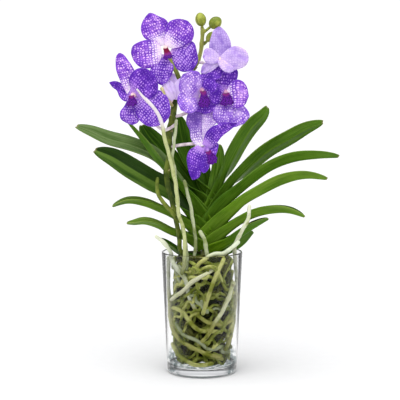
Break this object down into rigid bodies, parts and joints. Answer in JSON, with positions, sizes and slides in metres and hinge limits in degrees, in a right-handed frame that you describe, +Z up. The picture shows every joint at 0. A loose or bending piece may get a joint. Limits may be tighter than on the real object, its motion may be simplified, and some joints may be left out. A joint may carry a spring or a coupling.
{
  "type": "vanda orchid",
  "caption": "Violet vanda orchid in flower: strap leaves in a fan, buds, and bare roots wound inside a clear glass vase that stands on a flat foot.",
  "frame": {"origin": "centre of the vase's foot, on the surface it stands on", "axes": "+Z up along the vase's axis; +X along the fan of leaves to the right; -Y is the side the flowers face"},
  "size_m": [0.3841, 0.1466, 0.5288],
  "materials": {
    "glass": "clear polished",
    "leaf": "waxy satin",
    "stem": "satin",
    "bud": "satin",
    "stalk": "satin",
    "petal": "matte",
    "lip": "velvety",
    "root": "matte",
    "old_root": "matte"
  },
  "bodies": {
    "root": {"vase": "glass", "stem": "stem", "flower_stem": "stem", "flower_1_perianth": "petal", "flower_1_lip": "lip", "flower_2_perianth": "petal", "flower_2_lip": "lip", "flower_3_perianth": "petal", "flower_3_lip": "lip", "flower_4_perianth": "petal", "flower_4_lip": "lip", "flower_5_perianth": "petal", "flower_5_lip": "lip", "flower_6_perianth": "petal", "flower_6_lip": "lip", "flower_7_perianth": "petal", "flower_7_lip": "lip", "flower_1_stalk": "stalk", "flower_2_stalk": "stalk", "flower_3_stalk": "stalk", "flower_4_stalk": "stalk", "flower_5_stalk": "stalk", "flower_6_stalk": "stalk", "flower_7_stalk": "stalk", "bud_1": "bud", "bud_2": "bud", "bud_3": "bud", "root_long_aerial": "root", "root_thin_aerial": "root", "root_front": "root", "root_short": "root", "root_left_ring": "root", "root_right_wall": "root", "root_thick_rim": "root", "root_crossing": "root", "root_olive": "root", "root_low_left": "root", "root_right_slope": "root", "root_left_wall": "root", "root_low_middle": "root", "root_bottom": "root", "root_tangle": "old_root", "leaf_left_1": "leaf", "leaf_left_2": "leaf", "leaf_left_3": "leaf", "leaf_left_4": "leaf", "leaf_left_5": "leaf", "leaf_left_6": "leaf", "leaf_left_7": "leaf", "leaf_left_8": "leaf", "leaf_centre_1": "leaf", "leaf_centre_2": "leaf", "leaf_right_1": "leaf", "leaf_right_2": "leaf", "leaf_right_3": "leaf", "leaf_right_4": "leaf", "leaf_right_5": "leaf", "leaf_right_6": "leaf", "leaf_right_7": "leaf"}
  },
  "joints": []
}
